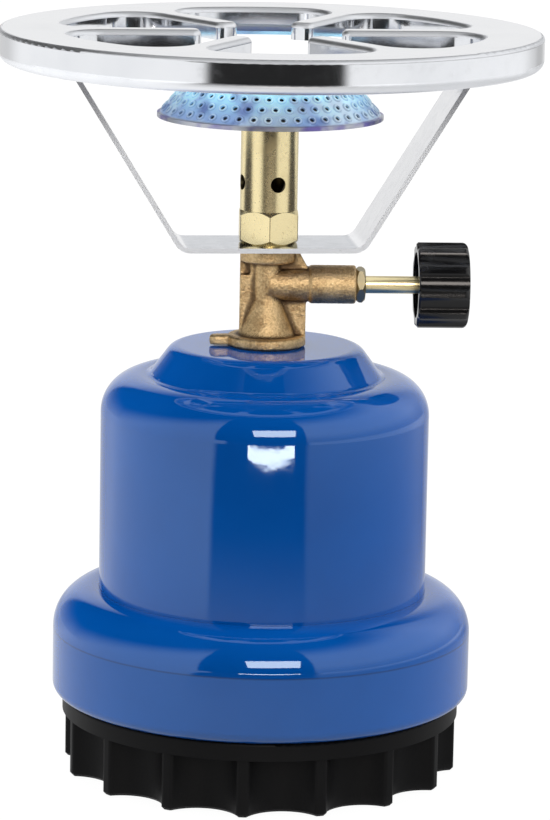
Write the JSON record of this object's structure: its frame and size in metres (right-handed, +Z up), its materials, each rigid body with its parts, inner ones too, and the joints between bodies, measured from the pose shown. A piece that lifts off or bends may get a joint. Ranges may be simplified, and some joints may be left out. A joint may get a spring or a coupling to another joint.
{
  "type": "camping gas stove",
  "caption": "Single-burner camping stove: ring pan support over a perforated burner, brass valve with side knob, steel can round a pierced gas cartridge, ribbed screw base.",
  "frame": {"origin": "centre of the base's underside, on the burner axis", "axes": "+Z up along the burner axis, +X along the valve spindle towards the knob"},
  "size_m": [0.1534, 0.1534, 0.2136],
  "materials": {
    "blue_paint": "glossy baked enamel",
    "base_plastic": "moulded, fine satin",
    "knob_plastic": "moulded, semi gloss",
    "cast_brass": "sand cast, tumbled",
    "polished_brass": "turned and polished",
    "chrome": "bright plated",
    "galvanised_steel": "zinc plated strip",
    "burner_steel": "heat tinted",
    "bright_steel": "turned",
    "cartridge_steel": "plain lacquer",
    "rubber": "matt",
    "fibre": "pressed fibre"
  },
  "bodies": {
    "stove": {"upper_can": "blue_paint", "lower_collar": "blue_paint", "thread_ring": "base_plastic", "flange_gasket": "fibre", "valve_body": "cast_brass", "valve_lock_nut": "bright_steel", "needle_holder": "polished_brass", "gas_filter": "polished_brass", "piercing_needle": "bright_steel", "cartridge_seal": "rubber", "gland_nut": "polished_brass", "gas_jet": "polished_brass", "support_bracket": "galvanised_steel", "pan_ring": "chrome", "mixing_tube": "polished_brass", "flame_gauze": "burner_steel", "burner_pan": "burner_steel", "burner_cap": "burner_steel"},
    "cartridge": {"cartridge_body": "cartridge_steel", "cartridge_bottom": "cartridge_steel"},
    "base": {"base_cup": "base_plastic", "cartridge_pad": "rubber"},
    "spindle_seal": {"spindle_o_ring": "rubber"},
    "knob": {"spindle": "polished_brass", "knob": "knob_plastic", "knob_screw": "bright_steel"}
  },
  "joints": [
    {"name": "cartridge_drop", "type": "slide", "parent": "stove", "child": "cartridge", "axis": [0, 0, -1], "range_m": [0, 0.0121]},
    {"name": "base_turn", "type": "hinge", "parent": "cartridge", "child": "base", "pos_m": [0, 0, 0], "axis": [0, 0, -1], "range_deg": [0, 1080]},
    {"name": "spindle_travel", "type": "slide", "parent": "stove", "child": "spindle_seal", "axis": [1, 0, 0], "range_m": [0, 0.0017]},
    {"name": "knob_turn", "type": "hinge", "parent": "spindle_seal", "child": "knob", "pos_m": [0, 0, 0.14105], "axis": [1, 0, 0], "range_deg": [0, 720]}
  ],
  "couplings": [
    {"joint": "cartridge_drop", "follows": "base_turn", "m_per_rad": 0.00063662},
    {"joint": "spindle_travel", "follows": "knob_turn", "m_per_rad": 0.00012732}
  ]
}
